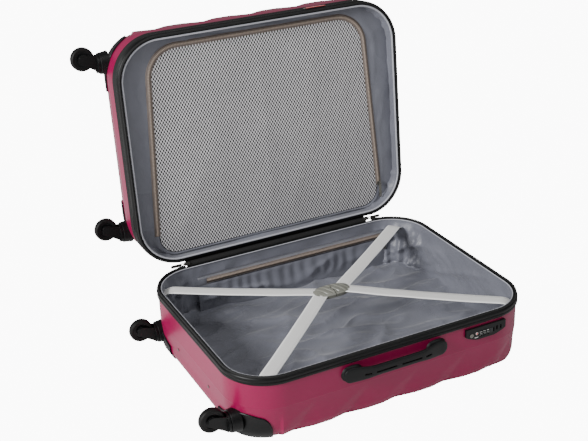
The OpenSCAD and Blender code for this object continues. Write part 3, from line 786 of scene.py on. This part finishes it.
for name, body, sign in (("buckle_plug", "base", -1), ("buckle_socket", "buckle_socket", 1)):
    rows = []
    for t in np.linspace(0, 1, 44):
        row = []
        for a in np.linspace(-math.pi / 2, math.pi / 2, 61):
            c, s = math.cos(a), math.sin(a)
            x = sign * (0.8 + 38.0 * t * abs(c) ** 0.75)
            y = 21.5 * t * math.copysign(abs(s) ** 0.75, s)
            crown = 5.6 * (1 - t**3.2)
            groove = max(0.0, math.cos(2 * math.pi * (x + 0.45 * y) / ridge_pitch)) ** 4
            in_grip = min(1.0, max(0.0, (18 - abs(y)) / 3)) * min(1.0, max(0.0, (34 - abs(x)) / 3))
            height = 1.0 + crown - 2.6 * groove * in_grip
            row.append((x * MM, buckle_y + y * MM, strap_z + height * MM))
        rows.append(row)
    rim_row = np.array(rows[-1])
    lower = rim_row.copy()
    lower[:, 2] -= 5.0 * MM
    under = lower * (0.9, 1, 1)
    under[:, 2] -= 1.2 * MM
    rows += [lower.tolist(), under.tolist()]
    rows = np.array(rows)
    count = rows.shape[1]
    faces = grid_faces(len(rows), count, ring=False, flip=sign < 0)
    side_low = [i * count for i in range(len(rows))]
    side_high = [i * count + count - 1 for i in range(len(rows))]
    faces.append(tuple(side_low[::-1] + side_high[1:]))
    faces.append(tuple(range((len(rows) - 1) * count, len(rows) * count)))
    half = put(name + "_moulding", rows, faces, acetal, body, sharp=35)
    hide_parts(name)

# ---- Casters ----
# Four spinner wheels in moulded corner housings: glass-filled nylon housings, forks and hubs, and
# polyurethane tyres. Each wheel turns on its axle and each fork on its swivel pin.


def moulded(name, base, high, gloss, grain, edge_highlight_and_rubbing_colour="#4A4C4E", edge=0.7):
    """An injection moulded plastic: spark-eroded grain, patchy gloss, and rounded edges painted paler,
    partly as rubbed wear and partly as a painted highlight. The grain's size and the edges' radius are in
    mm."""
    material, tree, surface = finish_material(name)
    place = add(tree, "TexCoord").outputs["Object"]
    cloud = add(tree, "TexNoise", {"Vector": place, "Scale": 18.0, "Detail": 5.0})
    tint = add(tree, "Mix", {MIX_BY: cloud, MIX_LOW: linear(base), MIX_HIGH: linear(high)},
               data_type="RGBA")
    rounded = add(tree, "Bevel", {"Radius": edge * MM}, samples=4)
    flat = add(tree, "NewGeometry")
    turn = add(tree, "VectorMath", {0: rounded, 1: flat.outputs["Normal"]}, operation="DOT_PRODUCT")
    on_edge = add(tree, "MapRange", {"Value": turn, "From Min": 0.99, "From Max": 0.86})
    # Painted highlight and wear: the rounded edges are painted paler, patchy with the cloud.
    painted_edge_highlight_and_rubbing = add(tree, "Math", {0: on_edge, 1: cloud}, operation="MULTIPLY")
    add(tree, "Mix", {MIX_BY: painted_edge_highlight_and_rubbing, MIX_LOW: tint, MIX_HIGH: linear(edge_highlight_and_rubbing_colour)},
        into=surface["Base Color"], data_type="RGBA")
    add(tree, "MapRange", {"Value": cloud, "To Min": gloss - 0.07, "To Max": gloss + 0.07},
        into=surface["Roughness"])
    spark = add(tree, "TexVoronoi", {"Vector": place, "Scale": 1 / (grain * MM)})
    add(tree, "Bump", {"Height": spark, "Normal": rounded, "Strength": 0.12, "Distance": 0.0002},
        into=surface["Normal"])
    surface["Specular IOR Level"].default_value = 0.25
    return material


def repaint(material, *nodes):
    """Gives CAD nodes that stay in sight their finish."""
    for node in nodes:
        slots = frame["nodes"][node].data.materials
        slots.clear()
        slots.append(material)


def smooth(low, high, value):
    """0 below low and 1 above high, with a smooth rise between."""
    t = min(1.0, max(0.0, (value - low) / (high - low)))
    return t * t * (3 - 2 * t)


swivel_y, swivel_z = 181 * MM, 38 * MM


def caster_housing(number, lid, side):
    """A corner cap that stands proud of the shell, with a boss that carries the fork. Its upper edge
    drops from a peak at the corner to a round toe on the long wall and to a point on the end wall."""
    body = "lid" if lid else "base"
    points, normals, along = rim_path(4 * MM)
    near = [i for i, p in enumerate(points) if p[0] < -252 * MM and p[1] * side > 118 * MM]
    first = next(i for i in near if (i - 1) % len(points) not in near)
    near = [(first + k) % len(points) for k in range(len(near))]
    if side < 0:
        near = near[::-1]
    rows = []
    for i in near:
        p, n = points[i], normals[i]
        toe = math.sqrt(max(0.0, 1 - (max(0.0, p[0] + 272 * MM) / (20.5 * MM)) ** 2))
        point = smooth(116 * MM, 215 * MM, p[1] * side)
        peak = min(61.0, 50 - 4.2 * (p[0] + 300 * MM) / (30 * MM) + 12 * n[0] ** 2)
        top = 2 + peak * toe * (0.5 + 0.5 * point)
        section = [(top, -1.5), (top, 2.0), (top - 1.2, 3.2)]
        section += [(top * t, 3.2) for t in np.linspace(0.9, 0.02, 12)]
        insets = [wall_inset(z, n, lid) - proud for z, proud in section]
        row = [(*(p - n * inset * MM), max(z, 0.4) * MM) for inset, (z, _) in zip(insets, section)]
        row += [(*(p - n * (inset + lean(n, lid)) * MM), 0.3 * MM) for inset in (17, 22)]
        rows.append(row)
    faces = grid_faces(len(rows), len(rows[0]), ring=False, flip=side < 0)
    cap = put(f"caster_housing_{number}_cap", np.array(rows), faces, nylon, body, lid, sharp=35)
    profile = [(24, 299), (22.6, 308), (21.8, 314), (21.6, 317.2), (21, 317.7), (5.2, 317.7), (5.2, 299)]
    turns = np.linspace(0, 2 * math.pi, 48, endpoint=False)
    rings = np.array([
        [(-x * MM, side * swivel_y + r * math.cos(a) * MM, swivel_z + r * math.sin(a) * MM) for a in turns]
        for r, x in profile
    ])
    faces = grid_faces(len(profile), len(turns), flip=True)
    boss = put(f"caster_boss_{number}", rings, faces, nylon, body, lid, sharp=35)
    for made in (cap, boss):
        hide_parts(f"caster_housing_{number}")


# Glass-filled nylon is a deep satin black, the hubs' nylon is glossier and greyer at its edges, painted
# there partly as rubbed wear and partly as a highlight, and the tyres' polyurethane is dull.
nylon = moulded("black_glass_filled_nylon", "#060607", "#0D0E0F", 0.4, 0.5, edge_highlight_and_rubbing_colour="#2A2B2C")
hub_nylon = moulded("black_hub_nylon", "#08080A", "#111214", 0.32, 0.6, edge_highlight_and_rubbing_colour="#3C3E40")
tyre_pu = moulded("black_polyurethane_tyre", "#060606", "#0D0D0D", 0.52, 0.4, edge_highlight_and_rubbing_colour="#232221", edge=1.0)
for i in range(1, 5):
    repaint(nylon, f"caster_fork_{i}")
    repaint(hub_nylon, f"wheel_hub_{i}")
    repaint(tyre_pu, f"tyre_{i}")
for number, lid, side in ((1, False, -1), (2, False, 1), (3, True, 1), (4, True, -1)):
    caster_housing(number, lid, side)

# ---- Trolley ----
# A two-stage telescopic handle in the back half: anodised aluminium tubes under the packing floor,
# and a moulded grip with its release button, sunk in a cup at the top end. The drawn tubes have fine
# lines along them, 0.7 mm apart, under a pale satin anodised skin.
anodised, tree, surface = finish_material("satin_anodised_aluminium")
place = add(tree, "TexCoord").outputs["Object"]
stretched = add(tree, "Mapping", {"Vector": place, "Scale": (6, 1400, 1400)})
drawn = add(tree, "TexNoise", {"Vector": stretched, "Scale": 1.0, "Detail": 3.0})
add(tree, "Mix", {MIX_BY: drawn, MIX_LOW: linear("#B4B6B8"), MIX_HIGH: linear("#C9CACC")},
    into=surface["Base Color"], data_type="RGBA")
add(tree, "MapRange", {"Value": drawn, "To Min": 0.26, "To Max": 0.38}, into=surface["Roughness"])
add(tree, "Bump", {"Height": drawn, "Strength": 0.1, "Distance": 0.0001}, into=surface["Normal"])
surface["Metallic"].default_value = 1.0
repaint(anodised, "trolley_outer_tubes", "trolley_mid_tubes", "trolley_inner_tubes")
abs_black = moulded("black_textured_abs", "#08090A", "#101213", 0.36, 0.35, edge_highlight_and_rubbing_colour="#2F3132")
repaint(abs_black, "trolley_cup", "trolley_grip", "trolley_brackets")
grey_abs = moulded("charcoal_abs", "#2A2B2D", "#38393B", 0.34, 0.4, edge_highlight_and_rubbing_colour="#6A6C6E")
repaint(grey_abs, "trolley_button", "lock_button")

# ---- Metal fittings ----
# Zinc die castings with a satin nickel plate: zip sliders, their pulls, the trolley screws and the key
# cylinder. The plate is a little cloudy, and its rounded edges catch the light.
nickel, tree, surface = finish_material("satin_nickel_plated_zinc")
place = add(tree, "TexCoord").outputs["Object"]
cloud = add(tree, "TexNoise", {"Vector": place, "Scale": 160.0, "Detail": 5.0})
add(tree, "Mix", {MIX_BY: cloud, MIX_LOW: linear("#6E6C67"), MIX_HIGH: linear("#94928C")},
    into=surface["Base Color"], data_type="RGBA")
add(tree, "MapRange", {"Value": cloud, "To Min": 0.34, "To Max": 0.5}, into=surface["Roughness"])
rounded = add(tree, "Bevel", {"Radius": 0.35 * MM}, samples=4)
add(tree, "Bump", {"Height": cloud, "Normal": rounded, "Strength": 0.15, "Distance": 0.0002},
    into=surface["Normal"])
surface["Metallic"].default_value = 1.0
repaint(nickel, "zip_sliders", "zip_pull_left", "zip_pull_right", "pocket_slider", "pocket_pull",
        "panel_slider", "panel_pull", "trolley_screws", "key_cylinder")

# ---- Carry handles ----
# One on the long side and one on the top end, moulded in soft-touch polypropylene. The bar is thick and
# narrow in its middle, flat and wide at its ends, has four slots and is pulled out of two domed mounts.
# Soft-touch polypropylene: duller than the housings, with a 0.3 mm spark-eroded grain.
soft_touch = moulded("soft_touch_polypropylene", "#090A0A", "#111314", 0.46, 0.3, edge_highlight_and_rubbing_colour="#2A2D2D")
wall_y = case_w / 2 - 3 * MM
wall_x = case_l / 2 - 3 * MM
grip_low, grip_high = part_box("side_handle_grip")
handle_x, handle_z = (grip_low.x + grip_high.x) / 2, (grip_low.z + grip_high.z) / 2


def carved(obj, cutters):
    """Cuts the cutters out of obj and removes them."""
    for cutter in cutters:
        cut = obj.modifiers.new("cut", "BOOLEAN")
        cut.object = cutter
        cut.solver = "EXACT"
    bpy.context.view_layer.update()
    shape = bpy.data.meshes.new_from_object(obj.evaluated_get(bpy.context.evaluated_depsgraph_get()))
    obj.modifiers.clear()
    obj.data = shape
    for cutter in cutters:
        bpy.data.objects.remove(cutter)


def carry_handle(name, origin, along, out, body, grip_node, mount_node):
    """A grip and its two mounts, where along runs down the bar and out points away from the wall."""
    origin, along, out = (np.array(v, float) for v in (origin, along, out))
    up = np.array((0, 0, 1.0))
    rows = []
    reach, end_r = 110.0, 14.0
    for x in reach * np.sin(np.linspace(-math.pi / 2, math.pi / 2, 61)):
        a = abs(x)
        end = math.sqrt(max(0.0, 1 - (max(0.0, a - reach + end_r) / end_r) ** 2))
        half_w = (10.6 + 4.6 * smooth(40, 96, a)) * max(end, 0.02)
        outer = 18.8 - 7.6 * smooth(50, 102, a)
        inner = 10.8 - 5.8 * smooth(62, 96, a)
        mid, thick = (outer + inner) / 2, (outer - inner) / 2 * max(end, 0.1)
        row = []
        for t in np.linspace(0, 2 * math.pi, 28, endpoint=False):
            c, s = math.cos(t), math.sin(t)
            w = half_w * math.copysign(abs(c) ** 0.55, c)
            n = mid + thick * math.copysign(abs(s) ** 0.6, s)
            row.append(origin + (along * x + up * w + out * n) * MM)
        rows.append(row)
    rows = np.array(rows)
    faces = grid_faces(len(rows), 28)
    faces += [tuple(range(28))[::-1], tuple(range((len(rows) - 1) * 28, len(rows) * 28))]
    grip = put(name + "_grip_bar", rows, faces, soft_touch, body, sharp=40)
    cutters = []
    slot_r = 1.8
    for x, length in ((-64, 15), (-27, 44), (27, 44), (64, 15)):
        ring = []
        for t in np.linspace(0, 2 * math.pi, 24, endpoint=False):
            side = math.copysign(length / 2 - slot_r, math.cos(t))
            ring.append(along * (x + side + slot_r * math.cos(t)) + up * (-2.0 + slot_r * math.sin(t)))
        prism = np.array([[origin + (q + out * n) * MM for q in ring] for n in (4.0, 26.0)])
        faces = grid_faces(2, 24)
        faces += [tuple(range(24))[::-1], tuple(range(24, 48))]
        cutters.append(put("slot_cutter", prism, faces, soft_touch, None))
    carved(grip, cutters)
    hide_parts(grip_node)
    for side in (-1, 1):
        dome = []
        for t in np.linspace(1, 0, 14):
            height = 0.2 + 6.4 * (1 - t**5) ** 0.8
            ring = []
            for a in np.linspace(0, 2 * math.pi, 48, endpoint=False):
                c, s = math.cos(a), math.sin(a)
                u = math.copysign(6 * min(1.0, abs(c) * 3), c) + 16 * c
                ring.append(origin + (along * (side * 90 + u * t) + up * 16 * s * t + out * height) * MM)
            dome.append(ring)
        dome = np.array(dome)
        pad = put(f"{name}_mount_{(side + 3) // 2}", dome, grid_faces(14, 48), soft_touch, "base", sharp=50)
        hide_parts(mount_node)


carry_handle("side_handle", (handle_x, -wall_y, handle_z), (1, 0, 0), (0, -1, 0), "side_handle",
             "side_handle_grip", "side_handle_mounts")
carry_handle("top_handle", (wall_x, 0, handle_z), (0, 1, 0), (1, 0, 0), "top_handle",
             "top_handle_grip", "top_handle_mounts")

# ---- Combination lock ----
# A boat-shaped ABS block with three code wheels, a key cylinder, a release slide and two slots that
# take the zip pulls. A red enamel dot in a white ring shows its state, over a white printed line.
repaint(abs_black, "lock_housing")
lock_low, lock_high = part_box("lock_housing")
key_low, key_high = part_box("key_cylinder")
lock_x, lock_z = (lock_low.x + lock_high.x) / 2, (key_low.z + key_high.z) / 2
face_y = lock_low.y - 0.12 * MM
# Black acetal code wheels: ten pale moulded ticks round each, sunk a little in a satin face.
code, tree, surface = finish_material("black_code_wheel_acetal")
place = add(tree, "TexCoord").outputs["Object"]
centred = add(tree, "VectorMath", {0: place, 1: (0, -wall_y - 1 * MM, lock_z)}, operation="SUBTRACT")
split = add(tree, "SeparateXYZ", {"Vector": centred})
angle = add(tree, "Math", {0: split.outputs["Z"], 1: split.outputs["Y"]}, operation="ARCTAN2")
turn = add(tree, "Math", {0: angle, 1: 10.0}, operation="MULTIPLY")
crest = add(tree, "Math", {0: turn}, operation="COSINE")
tick = add(tree, "Math", {0: crest, 1: 0.8}, operation="GREATER_THAN")
cloud = add(tree, "TexNoise", {"Vector": place, "Scale": 300.0})
dark = add(tree, "Mix", {MIX_BY: cloud, MIX_LOW: linear("#17181A"), MIX_HIGH: linear("#26272A")},
           data_type="RGBA")
add(tree, "Mix", {MIX_BY: tick, MIX_LOW: dark, MIX_HIGH: linear("#C9C9C4")},
    into=surface["Base Color"], data_type="RGBA")
add(tree, "Bump", {"Height": tick, "Strength": 0.4, "Distance": 0.0002}, invert=True, into=surface["Normal"])
surface["Roughness"].default_value = 0.38
repaint(code, "lock_dial_1", "lock_dial_2", "lock_dial_3")


def printed(name, base, speck):
    """Pad-printed ink, a little uneven at the scale of the plastic's grain."""
    material, tree, surface = finish_material(name)
    place = add(tree, "TexCoord").outputs["Object"]
    cloud = add(tree, "TexNoise", {"Vector": place, "Scale": 900.0, "Detail": 3.0})
    add(tree, "Mix", {MIX_BY: cloud, MIX_LOW: linear(base), MIX_HIGH: linear(speck)},
        into=surface["Base Color"], data_type="RGBA")
    add(tree, "Bump", {"Height": cloud, "Strength": 0.2, "Distance": 0.0002}, into=surface["Normal"])
    surface["Roughness"].default_value = 0.4
    return material


def button_disc(name, x, y, z, radius_x, radius_z, material):
    """A low domed mark on the lock's face, which lies at y."""
    rings = []
    for t, h in ((1, 0.0), (0.92, 0.35), (0.6, 0.5), (0.05, 0.55)):
        rings.append([
            (x + radius_x * t * math.cos(a), y - h * MM, z + radius_z * t * math.sin(a))
            for a in np.linspace(0, 2 * math.pi, 20, endpoint=False)
        ])
    faces = grid_faces(4, 20) + [tuple(range(60, 80))]
    mark = put(name, np.array(rings), faces, material, "base", sharp=60)


white_ink = printed("white_printed_ink", "#D9D9D6", "#EFEFEC")
red_ink = printed("red_lock_enamel", "#C3222A", "#D8343A")
spot_x, spot_z = lock_x - 21 * MM, lock_z + 1.5 * MM
button_disc("lock_window", spot_x, face_y, spot_z, 2.8 * MM, 2.8 * MM, white_ink)
button_disc("lock_mark", lock_x - 22 * MM, face_y, lock_z - 6.5 * MM, 4.4 * MM, 0.8 * MM, white_ink)
button_disc("lock_indicator", spot_x, face_y - 0.5 * MM, spot_z, 2.0 * MM, 1.9 * MM, red_ink)

# ---- Fabric hinge ----
# Between the zip's two ends the halves are joined by a strip of black woven tape, sewn to both rims.
half_arc = [(240.7, 126.5), (240.9, 131), (241.0, 135.5), (241.6, 138.6)]
arc = [(y * MM, z * MM, False) for y, z in half_arc] + [(y * MM, z * MM, True) for y, z in half_arc[::-1]]
strip_x = np.arange(hinge_low.x - 12 * MM, hinge_high.x + 13 * MM, 8 * MM)
rows, uv = [], []
for i, (y, z, on_lid) in enumerate(arc):
    pucker = [0.25 * MM * noise.noise(Vector((x * 60, i * 0.7, 0))) for x in strip_x]
    spots = [Vector((x, y + p, z)) for x, p in zip(strip_x, pucker)]
    rows.append([tuple(LID @ p) if on_lid else tuple(p) for p in spots])
    uv.append([(x, i * 4 * MM) for x in strip_x])
faces = grid_faces(len(arc), len(strip_x), ring=False, flip=True)
hinge_tape = put("fabric_hinge", np.array(rows), faces, black_tape, None, uv=uv)
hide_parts("hinge_strip")
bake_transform(hinge_tape)

# ---- Red label ----
# A folded woven label hangs on a split ring from the lid's zip, on its free edge. It is matt red, with
# its threads drawn 0.9 mm apart.
label_weave = woven("red_woven_label", 0.9 * MM, "#B3202A", "#D0363C", 0.6, 0.0002, 0.3)
tag_low, tag_high = 108 * MM, 152 * MM
across = np.linspace(0, 1, 5)
rows, uv = [], []
for t in np.linspace(0, 1, 16):
    x = tag_low + (tag_high - tag_low) * t
    curl = 0.5 * math.sin(t * 5.0)
    rows.append([
        (x, -(case_w / 2 + (0.9 + curl * 0.5 + 0.6 * v) * MM), (124.2 + 8.6 * v + 0.5 * curl) * MM)
        for v in across
    ])
    uv.append([(x, v * 9 * MM) for v in across])
label = put("red_label", np.array(rows), grid_faces(16, 5, ring=False), label_weave, "lid", True, uv=uv)
thick = label.modifiers.new("thickness", "SOLIDIFY")
thick.thickness = 0.8 * MM
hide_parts("red_tag")
ring_at = Vector((tag_low - 2.5 * MM, -case_w / 2 - 1.4 * MM, 129 * MM))
ring_r, wire_r = 4.5, 0.55
rows = []
for a in np.linspace(0, 2 * math.pi, 24, endpoint=False):
    spoke = Vector((math.cos(a), 0, math.sin(a)))
    row = []
    for b in np.linspace(0, 2 * math.pi, 8, endpoint=False):
        across = Vector((0, wire_r * math.sin(b), 0))
        row.append(tuple(ring_at + (spoke * (ring_r + wire_r * math.cos(b)) + across) * MM))
    rows.append(row)
rows.append(rows[0])
split_ring = put("label_ring", np.array(rows), grid_faces(25, 8), nickel, "lid", True, sharp=60)
